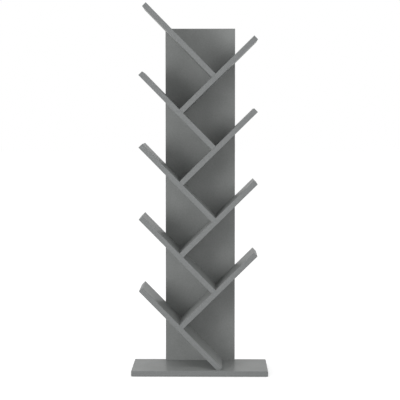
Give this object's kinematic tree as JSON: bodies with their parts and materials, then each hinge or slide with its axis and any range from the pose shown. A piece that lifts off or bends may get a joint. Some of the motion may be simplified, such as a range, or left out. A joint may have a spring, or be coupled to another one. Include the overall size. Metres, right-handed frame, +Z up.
{
  "type": "tree bookshelf",
  "caption": "Free-standing tree shaped bookshelf: a trunk board upright on a flat base, with leaning shelf boards joined in a zigzag, whose angled nooks hold books.",
  "frame": {"origin": "on the floor, under the middle of the base board", "axes": "+Z up, the front of the shelves towards -Y, +X to the right of a viewer at the front"},
  "size_m": [0.5, 0.24, 1.3598],
  "materials": {
    "faced_board": "satin grey melamine face",
    "edge_banding": "satin grey edge banding",
    "zinc_steel": "zinc plated",
    "beech": "bare, fluted",
    "foam_pad": "matt foam"
  },
  "bodies": {
    "root": {"base_board": "faced_board", "trunk_board": "faced_board", "foot_shelf": "faced_board", "left_shelf_1": "faced_board", "left_shelf_2": "faced_board", "left_shelf_3": "faced_board", "left_shelf_4": "faced_board", "right_shelf_1": "faced_board", "right_shelf_2": "faced_board", "right_shelf_3": "faced_board", "right_shelf_4": "faced_board", "base_banding": "edge_banding", "trunk_banding": "edge_banding", "foot_shelf_banding": "edge_banding", "left_shelf_1_banding": "edge_banding", "left_shelf_2_banding": "edge_banding", "left_shelf_3_banding": "edge_banding", "left_shelf_4_banding": "edge_banding", "right_shelf_1_banding": "edge_banding", "right_shelf_2_banding": "edge_banding", "right_shelf_3_banding": "edge_banding", "right_shelf_4_banding": "edge_banding", "shelf_screws": "zinc_steel", "joint_screws": "zinc_steel", "trunk_screws": "zinc_steel", "joint_dowels": "beech", "trunk_dowels": "beech", "foot_pads": "foam_pad"}
  },
  "joints": []
}
